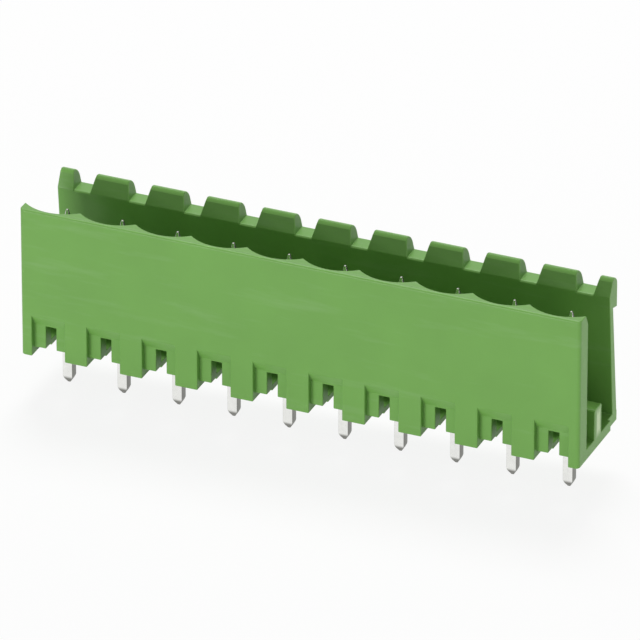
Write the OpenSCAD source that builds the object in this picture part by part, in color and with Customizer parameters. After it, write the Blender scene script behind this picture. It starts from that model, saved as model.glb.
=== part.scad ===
// Board half of a pluggable terminal block: one moulded housing, open at both
// ends, with a row of square solder pins pressed upright through its floor.
//
// The origin is on the board's surface, midway along the housing, on the row
// of pins. +X runs along the row, +Y points to the latch wall and +Z is the
// way the plug is pulled off. Both walls are prisms along X, cut once a pole.

/* [Row] */
// Number of poles, each with one pin
poles = 10; // [2:1:16]
// Distance between neighbouring pins
pitch = 5.08; // [4.6:0.02:7.62]
// How far each end of the front wall stops short of a whole pitch
end_relief = 0.05; // [0.05:0.05:0.5]
// How much further in each end of the latch wall stands
end_step = 0.25; // [0:0.05:0.4]
// Rounding of the two upright corners at the ends of the front wall
end_edge_r = 0.35; // [0.05:0.05:0.5]

/* [Front wall] */
// Pin row to the outer face of the front wall
front_reach = 4.25; // [4:0.05:5.5]
// Thickness of the front wall between its grooves
front_wall_t = 1.75; // [1.65:0.05:2.4]
// Height of the front wall above the board
front_wall_h = 13.9; // [12:0.1:16]
// Rounding of the front wall's outer top edge
front_edge_r = 0.2; // [0.05:0.05:0.25]

/* [Grooves in the front wall] */
// How far the groove round each pin cuts into the front wall
groove_depth = 0.8; // [0.3:0.05:0.85]
// How much wider each groove's mouth is, in radius
mouth_flare = 0.6; // [0.2:0.05:0.6]
// Height over which the mouth narrows
mouth_h = 1.6; // [0.5:0.1:3]

/* [Foot of the front wall] */
// Width of the recess at the foot of each pole
recess_w = 3.03; // [2:0.01:3.4]
// Depth of the recess
recess_depth = 0.6; // [0.2:0.05:0.7]
// Height at which the recess is still full depth
recess_h = 2.9; // [2:0.1:5]
// Height over which the top of the recess runs out
recess_run_out = 1; // [0.2:0.1:2]
// Width of the inspection slot in the middle of each recess
slot_w = 0.95; // [0.5:0.05:1.5]
// Height of the slot's top above the board
slot_h = 2.75; // [1.5:0.05:4]
// Height of the wall's lower edge inside each recess
recess_foot = 0.6; // [0.3:0.05:0.8]

/* [Latch wall] */
// Pin row to the inner face of the latch wall, at the notch floors
latch_gap = 2.93; // [2.3:0.01:4]
// How much further out the inner face stands at the floor
latch_lean = 1; // [0:0.05:1.5]
// Thickness of the latch wall under its lip
latch_wall_t = 0.7; // [0.6:0.05:1.5]
// Thickness of the latch wall at its foot
latch_foot_t = 0.93; // [0.7:0.01:1.5]
// Height of the lip's underside above the board
lip_z = 10.95; // [9:0.05:11.5]
// How far the lip stands proud of the wall below it
lip_out = 0.85; // [0.3:0.05:1.5]
// How far the lip's underside rises towards the wall
lip_rake = 0.2; // [0:0.05:0.4]

/* [Tabs on the latch wall] */
// Height of the tabs above the board
tab_h = 13.95; // [13.6:0.05:16]
// Height of the notch floors between the tabs
notch_floor_z = 12.5; // [12:0.05:12.8]
// Width of each notch at its floor
notch_w = 1.5; // [0.8:0.05:2.5]
// How far each side of a notch leans back up to the top
notch_flare = 0.3; // [0:0.05:0.7]
// Bevel along the inner edge of each notch floor
notch_bevel = 0.15; // [0.05:0.05:0.3]
// How far the inner face of a tab leans back up to its shoulder
tab_lead = 0.57; // [0.2:0.01:0.9]
// Depth of the shoulder along a tab's inner top edge
shoulder_w = 0.25; // [0.1:0.05:0.35]
// Height of that shoulder
shoulder_h = 0.25; // [0.1:0.05:0.5]
// Rounding of a tab's outer top edge
tab_edge_r = 0.85; // [0.1:0.05:1.2]

/* [Floor] */
// Height of the floor's upper side above the board
floor_z = 1; // [0.9:0.05:2]
// Gap between the board and the floor, kept by the stand-off bars
stand_off = 0.4; // [0.1:0.05:0.5]
// Width of the rib that holds the pins
pin_rib_w = 1.6; // [1.5:0.05:2.4]
// Height of that rib's top above the board
pin_rib_h = 3.8; // [2:0.1:6]
// Bevel along the rib's two upper edges
pin_rib_bevel = 0.15; // [0.05:0.05:0.2]

/* [Pins] */
// Width of a pin's square section
pin_w = 0.9; // [0.6:0.05:1.1]
// Length of a pin below the board's surface
pin_below = 4.25; // [2.5:0.05:6]
// Height of a pin's upper tip
pin_top = 12.3; // [8:0.05:13.5]
// Length of the taper at the upper end, which leads into the plug
lead_l = 1.6; // [0.5:0.1:2.5]
// Width of the blunt end of that taper
lead_w = 0.2; // [0.1:0.05:0.5]
// Length of the taper at the lower end
tip_l = 0.7; // [0.2:0.05:1.2]
// Width of the blunt end of that taper
tip_w = 0.35; // [0.1:0.05:0.5]
// Clearance on each face of a pin in its hole
pin_fit = 0.01; // [0:0.01:0.05]

/* [Hidden] */
$fn = 64;
arc_steps = 6;
// Overlap of a cutter past the face that it opens
over = 1;

row_l = poles * pitch - 2 * end_relief;
leg_w = pitch - recess_w;

front_out = -front_reach;
front_in = front_out + front_wall_t;
groove_r = groove_depth - front_in;
mouth_r = groove_r + mouth_flare;

lip_root = latch_in_at(lip_z) + latch_wall_t;
lip_face = lip_root + lip_out;
foot_out = latch_in_at(stand_off) + latch_foot_t;
shoulder_y = latch_gap + tab_lead;
shoulder_out = shoulder_y + shoulder_w;

// Distance from the pin row to the latch wall's inner face at height z
function latch_in_at(z) =
    latch_gap + latch_lean * (notch_floor_z - z) / (notch_floor_z - floor_z);

function pin_name(i) = str("pin_", i < 10 ? "0" : "", i);

// Place of pole i along the row, and of the boundary after pole i
function pole_x(i) = (i - (poles + 1) / 2) * pitch;
function boundary_x(i) = (i - poles / 2) * pitch;

// Points along an arc of radius r about c, from angle a to angle b
function arc(c, r, a, b) =
    [for (k = [0:arc_steps]) let (t = a + (b - a) * k / arc_steps)
        c + r * [cos(t), sin(t)]];

// A [y, z] outline carried along the whole row
module along_row(outline) {
    translate([-row_l / 2, 0, 0])
        rotate([90, 0, 90])
            linear_extrude(row_l)
                polygon(outline);
}

// A box that is centred on x and runs from y0 to y1 and from z0 to z1
module bar(x, w, y0, y1, z0, z1) {
    translate([x - w / 2, y0, z0])
        cube([w, y1 - y0, z1 - z0]);
}

// ---------- front wall ----------

module front_wall_solid() {
    r = front_edge_r;
    along_row(concat(
        [[front_out, stand_off]],
        arc([front_out + r, front_wall_h - r], r, 180, 90),
        [[front_in, front_wall_h], [front_in, stand_off]]
    ));
}

// The upright groove round one pin, from the rib's height to its flared mouth
module groove() {
    translate([0, 0, pin_rib_h])
        cylinder(r = groove_r, h = front_wall_h - pin_rib_h + over);
    translate([0, 0, front_wall_h - mouth_h])
        cylinder(r1 = groove_r, r2 = mouth_r, h = mouth_h);
    translate([0, 0, front_wall_h])
        cylinder(r = mouth_r, h = over);
}

// The recess at a pole's foot, which runs out into the face above it
module foot_recess() {
    translate([-recess_w / 2, front_out, 0])
        rotate([90, 0, 90])
            linear_extrude(recess_w)
                polygon([
                    [-over, -over],
                    [recess_depth, -over],
                    [recess_depth, recess_h],
                    [0, recess_h + recess_run_out],
                    [-over, recess_h + recess_run_out]
                ]);
}

// The slot, and the gap under the wall on both sides of it
module inspection_slot() {
    bar(0, slot_w, front_out - over, front_in + over, -over, slot_h);
    bar(0, recess_w, front_out - over, front_in + over, -over, recess_foot);
}

module front_wall() {
    difference() {
        front_wall_solid();
        for (i = [1:poles])
            translate([pole_x(i), 0, 0]) {
                groove();
                foot_recess();
                inspection_slot();
            }
    }
}

// ---------- latch wall ----------

module latch_wall_solid() {
    r = min(tab_edge_r, lip_face - shoulder_out);
    along_row(concat(
        [
            [foot_out, stand_off],
            [latch_in_at(stand_off), stand_off],
            [latch_gap, notch_floor_z],
            [shoulder_y, tab_h - shoulder_h],
            [shoulder_out, tab_h]
        ],
        arc([lip_face - r, tab_h - r], r, 90, 0),
        [[lip_face, lip_z], [lip_root, lip_z + lip_rake]]
    ));
}

// The gap between two tabs, wider at the top than at its floor
module notch() {
    rise = tab_h - notch_floor_z;
    top_w = notch_w + 2 * notch_flare * (rise + over) / rise;
    translate([0, lip_face + over, notch_floor_z])
        rotate([90, 0, 0])
            linear_extrude(lip_face + 2 * over)
                polygon([
                    [-notch_w / 2, 0],
                    [notch_w / 2, 0],
                    [top_w / 2, rise + over],
                    [-top_w / 2, rise + over]
                ]);
    b = notch_bevel;
    translate([-notch_w / 2, latch_gap, notch_floor_z])
        rotate([90, 0, 90])
            linear_extrude(notch_w)
                polygon([[-over, -b - over], [b, 0], [b, over], [-over, over]]);
}

module latch_wall() {
    difference() {
        latch_wall_solid();
        for (i = [1:poles])
            translate([pole_x(i), 0, 0]) notch();
    }
}

// ---------- floor ----------

module pin_rib() {
    b = pin_rib_bevel;
    half = pin_rib_w / 2;
    along_row([
        [-half, stand_off],
        [-half, pin_rib_h - b],
        [b - half, pin_rib_h],
        [half - b, pin_rib_h],
        [half, pin_rib_h - b],
        [half, stand_off]
    ]);
}

// The floor, open in front of each pin where the inspection slots run on
module floor_plate() {
    difference() {
        bar(0, row_l, front_in, latch_in_at(floor_z), stand_off, floor_z);
        for (i = [1:poles])
            bar(pole_x(i), slot_w, front_in - over, -pin_rib_w / 2, 0,
                floor_z + over);
    }
}

// Bars across the underside at the pole boundaries, on which the block stands
module stand_off_bars() {
    intersection() {
        bar(0, row_l, front_out, foot_out, 0, floor_z);
        for (i = [0:poles])
            bar(boundary_x(i), leg_w, front_out, foot_out, 0, floor_z);
    }
}

module pin_holes() {
    hole_w = pin_w + 2 * pin_fit;
    for (i = [1:poles])
        bar(pole_x(i), hole_w, -hole_w / 2, hole_w / 2, -over, pin_rib_h + over);
}

// The housing's outline from above: its two front corners are rounded, and
// its ends step in where the latch wall starts
module plan() {
    x = row_l / 2;
    back_x = x - end_step;
    back_y = max(foot_out, lip_face) + over;
    r = end_edge_r;
    translate([0, 0, -over])
        linear_extrude(tab_h + 2 * over)
            polygon(concat(
                arc([r - x, front_out + r], r, 180, 270),
                arc([x - r, front_out + r], r, 270, 360),
                [
                    [x, latch_gap],
                    [back_x, latch_gap],
                    [back_x, back_y],
                    [-back_x, back_y],
                    [-back_x, latch_gap],
                    [-x, latch_gap]
                ]
            ));
}

module housing() {
    color("#6fa04f")
        difference() {
            intersection() {
                union() {
                    front_wall();
                    latch_wall();
                    floor_plate();
                    pin_rib();
                    stand_off_bars();
                }
                plan();
            }
            pin_holes();
        }
}

// ---------- pins ----------

// Side outline of a pin, tapered to a blunt tip at both ends
module pin_outline() {
    w = pin_w / 2;
    polygon([
        [-tip_w / 2, -pin_below],
        [tip_w / 2, -pin_below],
        [w, tip_l - pin_below],
        [w, pin_top - lead_l],
        [lead_w / 2, pin_top],
        [-lead_w / 2, pin_top],
        [-w, pin_top - lead_l],
        [-w, tip_l - pin_below]
    ]);
}

// The outline carried both ways, so that each tip has four sloping faces
module solder_pin(i) {
    color("#cfd2d3")
        translate([pole_x(i), 0, 0])
            intersection() {
                rotate([90, 0, 0])
                    linear_extrude(pin_w, center = true) pin_outline();
                rotate([90, 0, 90])
                    linear_extrude(pin_w, center = true) pin_outline();
            }
}

housing();
for (i = [1:poles])
    solder_pin(i);
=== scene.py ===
"""Looks of the board half of a pluggable terminal block: its moulded housing and its plated pins.

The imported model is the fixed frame. Every new piece takes its place from that frame's boxes and
rides on its one body. All lengths are in metres, and MM turns millimetres into them.
"""

import math

import bmesh
import bpy
import numpy as np
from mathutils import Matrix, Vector


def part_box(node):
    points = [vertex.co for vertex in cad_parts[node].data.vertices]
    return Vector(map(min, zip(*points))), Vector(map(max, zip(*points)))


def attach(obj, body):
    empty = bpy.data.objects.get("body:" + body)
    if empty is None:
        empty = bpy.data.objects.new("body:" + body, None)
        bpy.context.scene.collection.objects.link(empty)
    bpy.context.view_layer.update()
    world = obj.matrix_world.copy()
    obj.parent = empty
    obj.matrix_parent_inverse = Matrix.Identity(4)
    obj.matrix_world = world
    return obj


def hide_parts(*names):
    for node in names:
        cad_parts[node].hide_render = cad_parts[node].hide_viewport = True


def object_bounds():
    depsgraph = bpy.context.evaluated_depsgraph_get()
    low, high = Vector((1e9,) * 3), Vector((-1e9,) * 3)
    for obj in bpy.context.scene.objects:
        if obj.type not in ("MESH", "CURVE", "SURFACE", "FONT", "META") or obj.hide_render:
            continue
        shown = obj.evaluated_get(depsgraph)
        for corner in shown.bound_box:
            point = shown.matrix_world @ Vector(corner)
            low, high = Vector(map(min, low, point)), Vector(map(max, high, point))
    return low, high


bl_info = {
    "name": "Board header looks",
    "version": (1, 0, 0),
    "blender": (4, 5, 0),
    "location": "3D View > Sidebar > Board header",
    "description": "Finishes a board header's moulded housing and plated pins, and sets its studio",
    "category": "Object",
}

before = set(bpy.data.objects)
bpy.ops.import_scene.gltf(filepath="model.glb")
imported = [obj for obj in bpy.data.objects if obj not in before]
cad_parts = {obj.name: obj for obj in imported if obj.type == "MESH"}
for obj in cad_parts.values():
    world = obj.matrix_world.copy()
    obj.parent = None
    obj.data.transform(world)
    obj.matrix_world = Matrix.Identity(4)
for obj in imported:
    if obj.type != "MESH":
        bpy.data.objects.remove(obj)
CAD_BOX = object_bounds()

MM = 0.001
HOUSING = "housing"
PINS = sorted(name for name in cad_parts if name.startswith("pin_"))
BODY = "root"

PIN_LOW, PIN_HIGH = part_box(PINS[0])

# The housing's arcs turn 15 degrees from face to face, so a sharper turn is shaded as an edge
EDGE_TURN = math.radians(17)
# Only a turn of more than this is rounded
ROUNDED_TURN = math.radians(30)
# A sharper turn on a pin is shaded as an edge
PIN_EDGE_TURN = math.radians(40)
# A turn of less than this between two faces is flat
FLAT_TURN = math.radians(0.5)

# Middle and half-sizes of a pale patch on the pin rib's right end
RIB_END_PATCH_CENTRE = (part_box(HOUSING)[1].x, 0.12 * MM, 2.3 * MM)
RIB_END_PATCH_HALF = (0.3 * MM, 0.45 * MM, 1.25 * MM)

# Each lamp: its name, its place from the middle of the part in metres, its width and height in
# metres and its power in watts. The strip stands just above the floor.
LAMPS = (
    ("top_softbox", (-0.1, 0.23, 0.55), (0.25, 0.25), 2.8),
    ("left_strip", (-0.24, -1.0, 0.009), (0.5, 0.034), 5.7),
    ("right_fill", (0.5, -0.02, 0.06), (0.08, 0.08), 0.35),
)


# ---------- colours and nodes ----------


def linear(hex_colour):
    """The linear red, green and blue of an sRGB hex colour, by the sRGB transfer curve."""
    srgb = np.array([int(hex_colour[i : i + 2], 16) for i in (0, 2, 4)]) / 255
    low = srgb / 12.92
    high = ((srgb + 0.055) / 1.055) ** 2.4
    return tuple(float(c) for c in np.where(srgb <= 0.04045, low, high))


def opaque(rgb):
    return (*rgb, 1.0)


def add_node(tree, kind, settings=None, inputs=None):
    """Adds a node of that kind.

    An input that is given a socket is linked to it, and any other value is set on the input.
    """
    node = tree.nodes.new(kind)
    for name, value in (settings or {}).items():
        setattr(node, name, value)
    for name, value in (inputs or {}).items():
        if isinstance(value, bpy.types.NodeSocket):
            tree.links.new(value, node.inputs[name])
        else:
            node.inputs[name].default_value = value
    return node


def new_material(name):
    """An empty node material, its tree and its output node."""
    material = bpy.data.materials.new(name)
    material.use_nodes = True
    tree = material.node_tree
    tree.nodes.clear()
    return material, tree, add_node(tree, "ShaderNodeOutputMaterial")


def object_coordinates(tree, stretch=(1.0, 1.0, 1.0)):
    """Object coordinates, multiplied by stretch along each axis."""
    place = add_node(tree, "ShaderNodeTexCoord").outputs["Object"]
    return add_node(tree, "ShaderNodeMapping", None, {"Vector": place, "Scale": stretch}).outputs[0]


def noise(tree, vector, size, detail=2.0, roughness=0.5):
    """Noise from 0 to 1 whose lumps are about size across."""
    values = {"Vector": vector, "Scale": 1 / size, "Detail": detail, "Roughness": roughness}
    return add_node(tree, "ShaderNodeTexNoise", None, values).outputs["Fac"]


def remap(tree, value, low, high, to_low, to_high):
    """Value carried from the range low to high onto to_low to to_high, and held at those ends."""
    values = {
        "Value": value,
        "From Min": low,
        "From Max": high,
        "To Min": to_low,
        "To Max": to_high,
    }
    return add_node(tree, "ShaderNodeMapRange", None, values).outputs["Result"]


def box_mask(tree, place, centre, half):
    """1 inside the box of half-sizes half round centre, which falls softly to 0 just outside it."""
    vector, number, greater = "ShaderNodeVectorMath", "ShaderNodeMath", {"operation": "MAXIMUM"}
    away = add_node(tree, vector, {"operation": "SUBTRACT"}, {0: place, 1: centre}).outputs[0]
    size = add_node(tree, vector, {"operation": "ABSOLUTE"}, {0: away}).outputs[0]
    share = add_node(tree, vector, {"operation": "DIVIDE"}, {0: size, 1: half}).outputs[0]
    parts = add_node(tree, "ShaderNodeSeparateXYZ", None, {"Vector": share}).outputs
    wide = add_node(tree, number, greater, {0: parts["X"], 1: parts["Y"]}).outputs[0]
    most = add_node(tree, number, greater, {0: wide, 1: parts["Z"]}).outputs[0]
    return remap(tree, most, 0.55, 1.15, 1.0, 0.0)


def moulded_polyamide(finish):
    """Green glass-filled polyamide, injection moulded in a spark-eroded mould.

    It gives the eye a satin green without a sharp reflection, a fine even grain, faint lighter
    streaks along the row where the melt flowed past the cores, and one pale patch on the right end
    of the pin rib.
    """
    material, tree, output = new_material("glass_filled_polyamide_moulded")
    green = tuple(finish.colour)
    paler = tuple(c + (1 - c) * finish.streak_strength for c in green)

    # The real grain is about 0.03 mm: it is drawn coarser, so that it shows at all.
    grain = noise(tree, object_coordinates(tree), finish.grain_size, detail=3)
    cloud = noise(tree, object_coordinates(tree), finish.cloud_size, detail=2)
    along = object_coordinates(tree, (0.12, 1, 1))
    streak = noise(tree, along, finish.streak_size, detail=4, roughness=0.6)

    streak_mask = remap(tree, streak, 0.56, 0.74, 0.0, 1.0)
    streaked = add_node(
        tree,
        "ShaderNodeMix",
        {"data_type": "RGBA"},
        {"Factor": streak_mask, "A": opaque(green), "B": opaque(paler)},
    )
    level = remap(tree, cloud, 0.3, 0.7, 0.97, 1.03)
    tint = add_node(
        tree, "ShaderNodeHueSaturation", None, {"Color": streaked.outputs["Result"], "Value": level}
    )
    # A pale patch on the pin rib's right end
    rib_end_patch = box_mask(tree, object_coordinates(tree), RIB_END_PATCH_CENTRE, RIB_END_PATCH_HALF)
    coloured = add_node(
        tree,
        "ShaderNodeMix",
        {"data_type": "RGBA"},
        {"Factor": rib_end_patch, "A": tint.outputs["Color"], "B": opaque(finish.rib_end_patch_colour)},
    )
    bump = add_node(
        tree,
        "ShaderNodeBump",
        None,
        {"Height": grain, "Strength": 0.35, "Distance": finish.grain_depth},
    )
    roughness = remap(tree, grain, 0.3, 0.7, finish.roughness - 0.06, finish.roughness + 0.06)
    shader = add_node(
        tree,
        "ShaderNodeBsdfPrincipled",
        None,
        {
            "Base Color": coloured.outputs["Result"],
            "Roughness": roughness,
            "IOR": 1.53,
            "Specular IOR Level": 0.3,
            "Normal": bump.outputs["Normal"],
        },
    )
    tree.links.new(shader.outputs[0], output.inputs["Surface"])
    return material


def tinned_brass(finish):
    """Brass strip, tin plated and then stamped into square pins.

    It gives the eye a bright silver front and back with fine lines along the pin, sides painted a
    duller grey as shade, and a lower point that is grey all round.
    """
    material, tree, output = new_material("tin_plated_brass_stamped")
    bright = tuple(finish.plating)
    # The pin's sides are painted this duller grey as shade, and the lower point takes it too
    shade_and_point_grey = tuple(finish.side_shade_and_point_colour)

    # Rolling lines are a few hundredths of a millimetre apart: they are drawn coarser, to show.
    lines = noise(tree, object_coordinates(tree, (1, 1, 0.04)), finish.line_spacing, detail=2)
    stains = noise(tree, object_coordinates(tree), 0.5 * MM, detail=3)

    texture = add_node(tree, "ShaderNodeTexCoord").outputs
    place = add_node(tree, "ShaderNodeSeparateXYZ", None, {"Vector": texture["Object"]})
    height = place.outputs["Z"]
    point_top = PIN_LOW.z + finish.point_length
    point = remap(tree, height, point_top - 0.4 * finish.point_length, point_top, 1, 0)
    # Painted shade: faces turned towards the pin's sides, away from its front and back, take the
    # duller grey
    facing = add_node(tree, "ShaderNodeSeparateXYZ", None, {"Vector": texture["Normal"]})
    forwards = add_node(tree, "ShaderNodeMath", {"operation": "ABSOLUTE"}, {0: facing.outputs["Y"]})
    painted_side_shade = remap(tree, forwards.outputs[0], 0.5, 0.8, 1, 0)
    either = add_node(tree, "ShaderNodeMath", {"operation": "MAXIMUM"}, {0: point, 1: painted_side_shade})
    side_shade_and_grey_point = either.outputs[0]

    plated = add_node(
        tree,
        "ShaderNodeMix",
        {"data_type": "RGBA"},
        {"Factor": side_shade_and_grey_point, "A": opaque(bright), "B": opaque(shade_and_point_grey)},
    )
    level = remap(tree, stains, 0.3, 0.7, 0.95, 1.03)
    tint = add_node(
        tree, "ShaderNodeHueSaturation", None, {"Color": plated.outputs["Result"], "Value": level}
    )
    bump = add_node(
        tree, "ShaderNodeBump", None, {"Height": lines, "Strength": 0.25, "Distance": 0.004 * MM}
    )
    shader = add_node(
        tree,
        "ShaderNodeBsdfPrincipled",
        None,
        {
            "Base Color": tint.outputs["Color"],
            "Metallic": 1.0,
            "Roughness": remap(tree, side_shade_and_grey_point, 0, 1, finish.roughness, finish.roughness + 0.2),
            "Normal": bump.outputs["Normal"],
        },
    )
    tree.links.new(shader.outputs[0], output.inputs["Surface"])
    return material


# ---------- meshes ----------


def mesh_object(name, mesh, material):
    """An object at the origin that shows the mesh in that material."""
    obj = bpy.data.objects.new(name, mesh)
    bpy.context.scene.collection.objects.link(obj)
    mesh.materials.clear()
    mesh.materials.append(material)
    return obj


def grid_mesh(name, points):
    """A closed mesh through rings of points, an array of rings by points by 3.

    Point j of ring i joins point j + 1 and the same points of ring i + 1, and one face closes
    each end.
    """
    rings, around, _ = points.shape
    index = np.arange(rings * around).reshape(rings, around)
    after = np.roll(index, -1, axis=1)
    walls = np.stack([index[:-1], after[:-1], after[1:], index[1:]], axis=-1).reshape(-1, 4)
    faces = [*walls.tolist(), index[0][::-1].tolist(), index[-1].tolist()]
    mesh = bpy.data.meshes.new(name)
    mesh.from_pydata(points.reshape(-1, 3).tolist(), [], faces)
    mesh.update()
    return mesh


def rounded_square(half, radius, steps):
    """Points round a square of half-widths half, whose corners are arcs of that radius.

    Half and radius are arrays, one value a ring. The angle runs once round, in four quarters, and
    each quarter turns about its own corner's centre, which lies half - radius out along both axes.
    """
    quarter = np.arange(4).repeat(steps)
    turn = np.tile(np.linspace(0, math.pi / 2, steps), 4) + quarter * math.pi / 2
    corner = np.array([[1, 1], [-1, 1], [-1, -1], [1, -1]])[quarter]
    arm = np.stack([np.cos(turn), np.sin(turn)], axis=-1)
    return (half - radius)[:, None, None] * corner + radius[:, None, None] * arm


def taper(wide, blunt, length, power, end_radius, rings):
    """Half-widths of a taper, and how far along it each one is.

    With s from 0 at its start to 1 at its end, the half-width falls from wide to blunt along
    wide - (wide - blunt) s^power, and the last rings round the blunt end by a quarter circle.
    """
    s = np.linspace(0, 1, rings)
    turn = np.linspace(0, math.pi / 2, 5)[1:]
    half = np.concatenate(
        [wide - (wide - blunt) * s**power, blunt - end_radius * (1 - np.cos(turn))]
    )
    along = np.concatenate([s * (length - end_radius), length - end_radius * (1 - np.sin(turn))])
    return half, along


def pin_mesh(name, low, high, finish):
    """One pin: a rounded square section carried up its length, with a taper at each end.

    The lower taper is a short full point, and the upper one is a long slender lead.
    """
    centre = (low + high) / 2
    wide = (high.x - low.x) / 2
    point, lead = finish.point_length, finish.lead_length
    point_half, point_along = taper(
        wide, finish.point_width / 2, point, finish.point_power, finish.end_radius, finish.rings
    )
    lead_half, lead_along = taper(
        wide, finish.lead_width / 2, lead, finish.lead_power, finish.end_radius, finish.rings
    )
    half = np.concatenate([point_half[::-1], lead_half])
    z = np.concatenate([(low.z + point - point_along)[::-1], high.z - lead + lead_along])
    radius = np.minimum(finish.edge_radius, 0.45 * half)
    xy = rounded_square(half, radius, finish.corner_points)
    z = np.broadcast_to(z[:, None, None], (*xy.shape[:2], 1))
    points = np.concatenate([xy + np.array([centre.x, centre.y]), z], axis=-1)
    return grid_mesh(name, points)


def welded_copy(node, name):
    """A copy of a CAD node's mesh with its loose triangles joined, and flat faces made whole."""
    mesh = bpy.data.meshes.new(name)
    bm = bmesh.new()
    bm.from_mesh(node.data)
    bmesh.ops.remove_doubles(bm, verts=bm.verts, dist=0.001 * MM)
    bmesh.ops.dissolve_limit(
        bm, angle_limit=FLAT_TURN, verts=bm.verts, edges=bm.edges, delimit=set()
    )
    bm.to_mesh(mesh)
    bm.free()
    return mesh


def finish_modifiers(piece):
    """Puts what the piece's modifiers make into its own mesh."""
    evaluated = piece.evaluated_get(bpy.context.evaluated_depsgraph_get())
    piece.data = bpy.data.meshes.new_from_object(evaluated)
    piece.modifiers.clear()


def keep_inside(mesh, low, high):
    """Holds every vertex of the mesh inside the box from low to high, each axis by itself."""
    points = np.empty(len(mesh.vertices) * 3, dtype=np.float32)
    mesh.vertices.foreach_get("co", points)
    points = np.clip(points.reshape(-1, 3), np.array(low), np.array(high))
    mesh.vertices.foreach_set("co", points.ravel())
    mesh.update()


def smooth(mesh, sharp_angle):
    """Shades the mesh smooth, apart from edges that turn by more than the angle."""
    mesh.polygons.foreach_set("use_smooth", np.ones(len(mesh.polygons), dtype=bool))
    mesh.set_sharp_from_angle(angle=sharp_angle)
    mesh.update()


# ---------- settings ----------


class HousingFinish(bpy.types.PropertyGroup):
    colour: bpy.props.FloatVectorProperty(
        name="Colour",
        description="Colour of the moulded plastic",
        subtype="COLOR",
        size=3,
        min=0,
        max=1,
        default=linear("6B9E4A"),
    )
    roughness: bpy.props.FloatProperty(
        name="Roughness",
        description="Mean roughness of the mould's finish",
        default=0.4,
        min=0.1,
        max=1,
    )
    # A radius past 0.08 mm would cross itself between the pin holes and the edges of the rib
    edge_radius: bpy.props.FloatProperty(
        name="Edge radius",
        description="Rounding that the mould leaves on every edge",
        default=0.07 * MM,
        min=0.01 * MM,
        max=0.08 * MM,
        precision=6,
        unit="LENGTH",
    )
    edge_segments: bpy.props.IntProperty(
        name="Edge segments", description="Faces across a rounded edge", default=3, min=1, max=6
    )
    grain_size: bpy.props.FloatProperty(
        name="Grain size",
        description="Size of the mould's grain",
        default=0.12 * MM,
        min=0.02 * MM,
        precision=6,
        unit="LENGTH",
    )
    grain_depth: bpy.props.FloatProperty(
        name="Grain depth",
        description="Depth of the mould's grain",
        default=0.02 * MM,
        min=0,
        precision=6,
        unit="LENGTH",
    )
    cloud_size: bpy.props.FloatProperty(
        name="Cloud size",
        description="Size of the soft changes of shade",
        default=5 * MM,
        min=0.5 * MM,
        precision=6,
        unit="LENGTH",
    )
    streak_size: bpy.props.FloatProperty(
        name="Streak size",
        description="Width of the flow streaks",
        default=1.2 * MM,
        min=0.1 * MM,
        precision=6,
        unit="LENGTH",
    )
    streak_strength: bpy.props.FloatProperty(
        name="Streak strength",
        description="How much paler a flow streak is",
        default=0.03,
        min=0,
        max=0.3,
    )
    # A pale patch on the pin rib's right end takes this colour
    rib_end_patch_colour: bpy.props.FloatVectorProperty(
        name="Rib end patch colour",
        description="Colour of the pale patch on the pin rib's right end",
        subtype="COLOR",
        size=3,
        min=0,
        max=1,
        default=linear("C4DDAC"),
    )


class PinFinish(bpy.types.PropertyGroup):
    plating: bpy.props.FloatVectorProperty(
        name="Plating",
        description="Colour of the tin plating",
        subtype="COLOR",
        size=3,
        min=0,
        max=1,
        default=linear("F0F0ED"),
    )
    # Painted shade: the duller grey on the pin's sides, which the lower point takes too
    side_shade_and_point_colour: bpy.props.FloatVectorProperty(
        name="Side shade and point colour",
        description="Colour painted on the pin's sides as shade, which the lower point takes too",
        subtype="COLOR",
        size=3,
        min=0,
        max=1,
        default=linear("82827D"),
    )
    roughness: bpy.props.FloatProperty(
        name="Roughness",
        description="Roughness of the plating on the faces",
        default=0.22,
        min=0.05,
        max=1,
    )
    line_spacing: bpy.props.FloatProperty(
        name="Line spacing",
        description="Spacing of the fine lines along the pin",
        default=0.1 * MM,
        min=0.01 * MM,
        precision=6,
        unit="LENGTH",
    )
    edge_radius: bpy.props.FloatProperty(
        name="Edge radius",
        description="Rounding of the pin's four edges",
        default=0.09 * MM,
        min=0.01 * MM,
        max=0.4 * MM,
        precision=6,
        unit="LENGTH",
    )
    point_length: bpy.props.FloatProperty(
        name="Point length",
        description="Length of the point at the lower end",
        default=0.7 * MM,
        min=0.2 * MM,
        precision=6,
        unit="LENGTH",
    )
    point_width: bpy.props.FloatProperty(
        name="Point width",
        description="Width of the lower point's blunt end",
        default=0.3 * MM,
        min=0.15 * MM,
        precision=6,
        unit="LENGTH",
    )
    point_power: bpy.props.FloatProperty(
        name="Point power",
        description="1 is a straight taper, and more is a fuller one",
        default=1.6,
        min=1,
    )
    lead_length: bpy.props.FloatProperty(
        name="Lead length",
        description="Length of the taper at the upper end",
        default=1.6 * MM,
        min=0.2 * MM,
        precision=6,
        unit="LENGTH",
    )
    lead_width: bpy.props.FloatProperty(
        name="Lead width",
        description="Width of the upper taper's blunt end",
        default=0.2 * MM,
        min=0.15 * MM,
        precision=6,
        unit="LENGTH",
    )
    lead_power: bpy.props.FloatProperty(
        name="Lead power",
        description="1 is a straight taper, and more is a fuller one",
        default=1.0,
        min=1,
    )
    end_radius: bpy.props.FloatProperty(
        name="End radius",
        description="Rounding of each taper's blunt end",
        default=0.06 * MM,
        min=0.01 * MM,
        max=0.07 * MM,
        precision=6,
        unit="LENGTH",
    )
    rings: bpy.props.IntProperty(
        name="Rings", description="Rings of faces along a taper", default=9, min=2, max=30
    )
    corner_points: bpy.props.IntProperty(
        name="Corner points",
        description="Points round each edge of the pin",
        default=6,
        min=3,
        max=16,
    )


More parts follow.
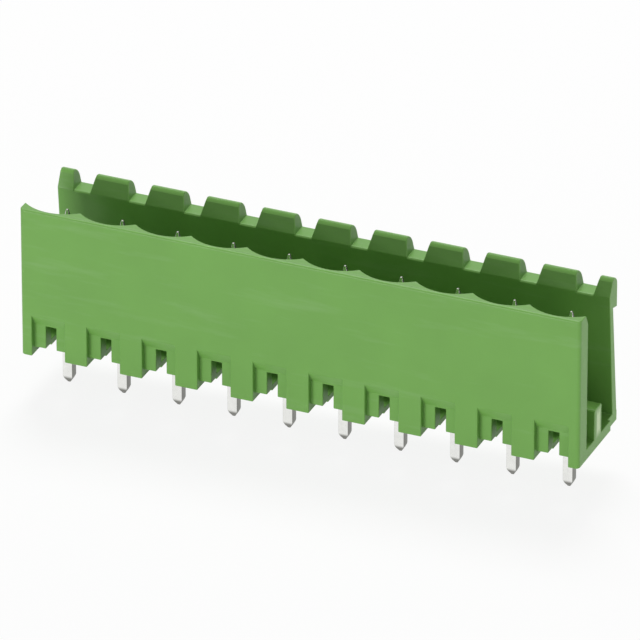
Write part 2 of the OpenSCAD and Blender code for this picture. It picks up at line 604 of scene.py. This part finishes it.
class Studio(bpy.types.PropertyGroup):
    azimuth: bpy.props.FloatProperty(
        name="Azimuth",
        description="Camera's turn about the part, from straight in front towards its right end",
        default=math.radians(23.1),
        subtype="ANGLE",
        unit="ROTATION",
    )
    elevation: bpy.props.FloatProperty(
        name="Elevation",
        description="Camera's angle above the board",
        default=math.radians(28.7),
        subtype="ANGLE",
        unit="ROTATION",
    )
    distance: bpy.props.FloatProperty(
        name="Distance",
        description="Camera to the point it aims at",
        default=875.5 * MM,
        unit="LENGTH",
    )
    aim: bpy.props.FloatVectorProperty(
        name="Aim",
        description="Point the camera aims at, from the middle of the part",
        subtype="TRANSLATION",
        unit="LENGTH",
        size=3,
        default=(0.94 * MM, -1.94 * MM, 2.72 * MM),
    )
    lens: bpy.props.FloatProperty(
        name="Lens",
        description="Focal length in millimetres, on a 36 mm sensor",
        default=590,
        min=20,
    )
    floor_colour: bpy.props.FloatVectorProperty(
        name="Floor colour",
        description="Colour of the floor",
        subtype="COLOR",
        size=3,
        min=0,
        max=1,
        default=linear("F0F0F0"),
    )
    floor_radius: bpy.props.FloatProperty(
        name="Floor radius", description="Radius of the round floor", default=3.0, unit="LENGTH"
    )
    eye_fill: bpy.props.FloatProperty(
        name="Eye fill",
        description="How far the floor is filled up to white to the eye",
        default=0.88,
        min=0,
        max=1,
    )
    glossy_fill: bpy.props.FloatProperty(
        name="Glossy fill",
        description="How far the floor is filled up to white in reflections",
        default=0.85,
        min=0,
        max=1,
    )
    sky: bpy.props.FloatProperty(
        name="Sky", description="Strength of the even light from all round", default=0.3, min=0
    )


# ---------- operators ----------


class HEADER_OT_housing(bpy.types.Operator):
    """Rounds the edges of the moulded housing and gives it its green satin plastic"""

    bl_idname = "header.housing"
    bl_label = "Moulded housing"

    def execute(self, context):
        finish = context.scene.header_housing
        mesh = welded_copy(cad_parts[HOUSING], "moulded_housing")
        smooth(mesh, EDGE_TURN)
        piece = mesh_object("moulded_housing", mesh, moulded_polyamide(finish))
        bevel = piece.modifiers.new("Moulded edges", "BEVEL")
        bevel.limit_method = "ANGLE"
        bevel.angle_limit = ROUNDED_TURN
        bevel.width = finish.edge_radius
        bevel.segments = finish.edge_segments
        bevel.use_clamp_overlap = False
        bevel.harden_normals = True
        finish_modifiers(piece)
        keep_inside(piece.data, *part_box(HOUSING))
        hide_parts(HOUSING)
        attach(piece, BODY)
        return {"FINISHED"}


class HEADER_OT_pins(bpy.types.Operator):
    """Makes the row of plated pins, one for each pin of the part"""

    bl_idname = "header.pins"
    bl_label = "Plated pins"

    def execute(self, context):
        finish = context.scene.header_pins
        material = tinned_brass(finish)
        for node in PINS:
            low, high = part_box(node)
            name = node.replace("pin", "plated_pin")
            mesh = pin_mesh(name, low, high, finish)
            smooth(mesh, PIN_EDGE_TURN)
            piece = mesh_object(name, mesh, material)
            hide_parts(node)
            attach(piece, BODY)
        return {"FINISHED"}


class HEADER_OT_studio(bpy.types.Operator):
    """Sets the floor, the lamps, the sky and the camera"""

    bl_idname = "header.studio"
    bl_label = "Studio"

    def execute(self, context):
        studio = context.scene.header_studio
        low, high = CAD_BOX
        middle = (low + high) / 2
        make_floor(studio, low.z)
        for name, place, size, power in LAMPS:
            make_lamp(name, middle + Vector(place), middle, size, power)
        make_sky(context.scene, studio)
        make_camera(context.scene, studio, middle)
        context.scene.view_settings.view_transform = "Standard"
        return {"FINISHED"}


def make_floor(studio, height):
    """A round pale floor: each ring's points are at radius r (cos t, sin t)."""
    sides = 64
    turn = np.linspace(0, 2 * math.pi, sides, endpoint=False)
    radius = np.array([0.25, 1.0]) * studio.floor_radius
    rim = radius[:, None, None] * np.stack([np.cos(turn), np.sin(turn)], axis=-1)
    points = np.concatenate([rim, np.full((*rim.shape[:2], 1), height)], axis=-1)
    inner = np.arange(sides)
    outer = inner + sides
    band = np.stack([inner, outer, np.roll(outer, -1), np.roll(inner, -1)], axis=-1)
    mesh = bpy.data.meshes.new("floor")
    mesh.from_pydata(points.reshape(-1, 3).tolist(), [], [*band.tolist(), inner.tolist()])
    mesh.update()
    mesh_object("floor", mesh, studio_paper(studio))


def white_to_rays(tree, eye, reflections):
    """The share of white to show: eye for camera rays, reflections for glossy and through rays."""
    path = add_node(tree, "ShaderNodeLightPath")
    glossy = add_node(tree, "ShaderNodeMath", {"operation": "MAXIMUM"})
    tree.links.new(path.outputs["Is Glossy Ray"], glossy.inputs[0])
    tree.links.new(path.outputs["Is Transmission Ray"], glossy.inputs[1])
    seen = remap(tree, path.outputs["Is Camera Ray"], 0, 1, 0, eye)
    reflected = remap(tree, glossy.outputs[0], 0, 1, 0, reflections)
    share = add_node(tree, "ShaderNodeMath", {"operation": "MAXIMUM"})
    tree.links.new(seen, share.inputs[0])
    tree.links.new(reflected, share.inputs[1])
    return share.outputs[0]


def studio_paper(studio):
    """Matt pale paper, filled up towards white.

    It gives the eye a plain white ground, with a soft shadow left on it.
    """
    material, tree, output = new_material("matt_paper")
    matt = add_node(tree, "ShaderNodeBsdfDiffuse", None, {"Color": opaque(studio.floor_colour)})
    white = add_node(tree, "ShaderNodeEmission", None, {"Strength": 1.0})
    share = white_to_rays(tree, studio.eye_fill, studio.glossy_fill)
    filled = add_node(tree, "ShaderNodeMixShader", None, {"Fac": share})
    tree.links.new(matt.outputs[0], filled.inputs[1])
    tree.links.new(white.outputs[0], filled.inputs[2])
    tree.links.new(filled.outputs[0], output.inputs["Surface"])
    return material


def make_sky(scene, studio):
    """An even pale light from all round, which looks white to the eye and in reflections."""
    world = bpy.data.worlds.new("studio_sky")
    world.use_nodes = True
    tree = world.node_tree
    tree.nodes.clear()
    strength = remap(tree, white_to_rays(tree, 1, 1), 0, 1, studio.sky, 1)
    light = add_node(
        tree, "ShaderNodeBackground", None, {"Color": (1, 1, 1, 1), "Strength": strength}
    )
    output = add_node(tree, "ShaderNodeOutputWorld")
    tree.links.new(light.outputs[0], output.inputs["Surface"])
    scene.world = world


def make_lamp(name, place, target, size, power):
    """A softbox of that width and height at place, turned to face the target."""
    lamp = bpy.data.lights.new(name, "AREA")
    lamp.shape = "RECTANGLE"
    lamp.size, lamp.size_y = size
    lamp.energy = power
    obj = bpy.data.objects.new(name, lamp)
    bpy.context.scene.collection.objects.link(obj)
    obj.location = place
    obj.rotation_mode = "QUATERNION"
    obj.rotation_quaternion = (target - place).to_track_quat("-Z", "Y")


def make_camera(scene, studio, middle):
    """A long lens at the studio's azimuth and elevation, looking at its aim."""
    azimuth, elevation = studio.azimuth, studio.elevation
    back = Vector(
        (
            math.sin(azimuth) * math.cos(elevation),
            -math.cos(azimuth) * math.cos(elevation),
            math.sin(elevation),
        )
    )
    camera = bpy.data.cameras.new("camera")
    camera.sensor_width = 36
    camera.lens = studio.lens
    camera.clip_start = 0.05
    camera.clip_end = 20
    obj = bpy.data.objects.new("camera", camera)
    scene.collection.objects.link(obj)
    obj.location = middle + Vector(studio.aim) + back * studio.distance
    obj.rotation_mode = "QUATERNION"
    obj.rotation_quaternion = (-back).to_track_quat("-Z", "Y")
    scene.camera = obj


class HEADER_PT_panel(bpy.types.Panel):
    """The header's pieces, with their sizes and colours"""

    bl_idname = "HEADER_PT_panel"
    bl_label = "Board header"
    bl_space_type = "VIEW_3D"
    bl_region_type = "UI"
    bl_category = "Board header"

    def draw(self, context):
        for operator, settings in STEPS:
            box = self.layout.box()
            box.operator(operator.bl_idname)
            group = getattr(context.scene, settings)
            for name in group.__annotations__:
                box.prop(group, name)


GROUPS = {"header_housing": HousingFinish, "header_pins": PinFinish, "header_studio": Studio}
STEPS = [
    (HEADER_OT_housing, "header_housing"),
    (HEADER_OT_pins, "header_pins"),
    (HEADER_OT_studio, "header_studio"),
]
CLASSES = [*GROUPS.values(), *(operator for operator, _ in STEPS), HEADER_PT_panel]


def register():
    for cls in CLASSES:
        bpy.utils.register_class(cls)
    for name, group in GROUPS.items():
        setattr(bpy.types.Scene, name, bpy.props.PointerProperty(type=group))


def unregister():
    for name in GROUPS:
        delattr(bpy.types.Scene, name)
    for cls in reversed(CLASSES):
        bpy.utils.unregister_class(cls)


def main():
    register()
    bpy.ops.header.housing()
    bpy.ops.header.pins()
    bpy.ops.header.studio()


if __name__ == "__main__":
    main()
